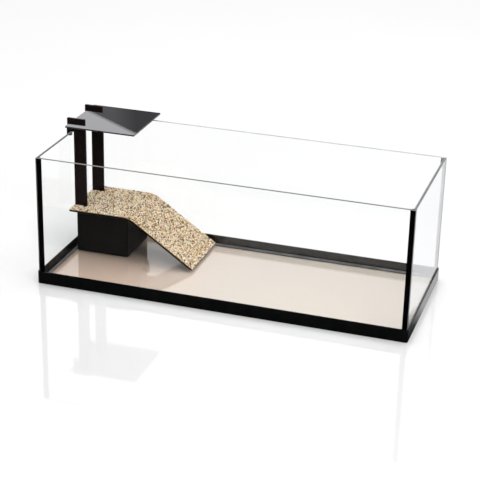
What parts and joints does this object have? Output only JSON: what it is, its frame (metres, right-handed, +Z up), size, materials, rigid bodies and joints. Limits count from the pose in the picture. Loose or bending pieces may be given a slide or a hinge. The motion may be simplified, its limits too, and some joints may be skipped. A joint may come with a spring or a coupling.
{
  "type": "turtle tank",
  "caption": "Open-topped glass tank on a black base frame, with a gravel-coated basking deck and ramp hung from hook straps, a shelf plate above the rim and a filter box under the deck.",
  "frame": {"origin": "middle of the tank's underside, on the surface that it stands on", "axes": "+X along the tank's length away from the basking station, +Y towards the back pane, +Z up"},
  "size_m": [0.761, 0.3054, 0.2945],
  "materials": {
    "clear_glass": "clear float glass with ground edges",
    "frame_plastic": "glossy black moulding",
    "mat_foam": "fine beige closed-cell foam",
    "black_silicone": "satin black sealant",
    "clear_silicone": "translucent sealant",
    "black_acrylic": "black sheet, polished faces",
    "shelf_acrylic": "glossy black sheet",
    "gravel": "bonded natural quartz gravel",
    "housing_plastic": "satin black moulding",
    "soft_rubber": "soft black rubber",
    "blue_sponge": "open-cell filter foam",
    "white_sponge": "fine filter foam",
    "carbon_felt": "carbon-loaded felt",
    "pump_plastic": "satin black moulding",
    "white_ceramic": "polished ceramic",
    "ferrite": "dark sintered ferrite",
    "impeller_plastic": "light moulded plastic"
  },
  "bodies": {
    "tank": {"base_frame": "frame_plastic", "base_mat": "mat_foam", "bottom_pane": "clear_glass", "front_pane": "clear_glass", "back_pane": "clear_glass", "left_pane": "clear_glass", "right_pane": "clear_glass", "bottom_seam": "clear_silicone", "seam_front_left": "black_silicone", "seam_front_right": "black_silicone", "seam_back_left": "clear_silicone", "seam_back_right": "clear_silicone"},
    "basking_station": {"hanger_front": "black_acrylic", "hanger_rear": "black_acrylic", "deck_and_ramp": "black_acrylic", "gravel_coat": "gravel", "lock_key_front": "black_acrylic", "lock_key_rear": "black_acrylic"},
    "shelf": {"shelf_plate": "shelf_acrylic"},
    "filter": {"filter_housing": "housing_plastic", "filter_lid": "housing_plastic", "filter_feet": "soft_rubber", "coarse_sponge": "blue_sponge", "fine_sponge": "white_sponge", "carbon_pad": "carbon_felt", "chamber_divider": "housing_plastic", "pump_body": "pump_plastic", "pump_volute": "pump_plastic", "pump_shaft": "white_ceramic", "shaft_bush_lower": "soft_rubber", "shaft_bush_upper": "soft_rubber", "cable_gland": "soft_rubber"},
    "outlet": {"outlet_nozzle": "pump_plastic"},
    "regulator": {"flow_regulator": "pump_plastic"},
    "rotor": {"rotor_magnet": "ferrite", "impeller": "impeller_plastic"}
  },
  "joints": [
    {"name": "station_lift", "type": "slide", "parent": "tank", "child": "basking_station", "axis": [0, 0, 1], "range_m": [0, 0.27]},
    {"name": "shelf_lift", "type": "slide", "parent": "basking_station", "child": "shelf", "axis": [0, 0, 1], "range_m": [0, 0.04]},
    {"name": "filter_slide", "type": "slide", "parent": "tank", "child": "filter", "axis": [0, -1, 0], "range_m": [0, 0.143]},
    {"name": "nozzle_swivel", "type": "hinge", "parent": "filter", "child": "outlet", "pos_m": [-0.2495, 0.101, 0.068], "axis": [1, 0, 0], "range_deg": [-90, 90]},
    {"name": "regulator_turn", "type": "hinge", "parent": "filter", "child": "regulator", "pos_m": [-0.3, 0.108, 0.078], "axis": [0, 0, 1], "range_deg": [0, 45]},
    {"name": "impeller_spin", "type": "hinge", "parent": "filter", "child": "rotor", "pos_m": [-0.3, 0.108, 0.064], "axis": [0, 0, 1], "continuous": true}
  ]
}
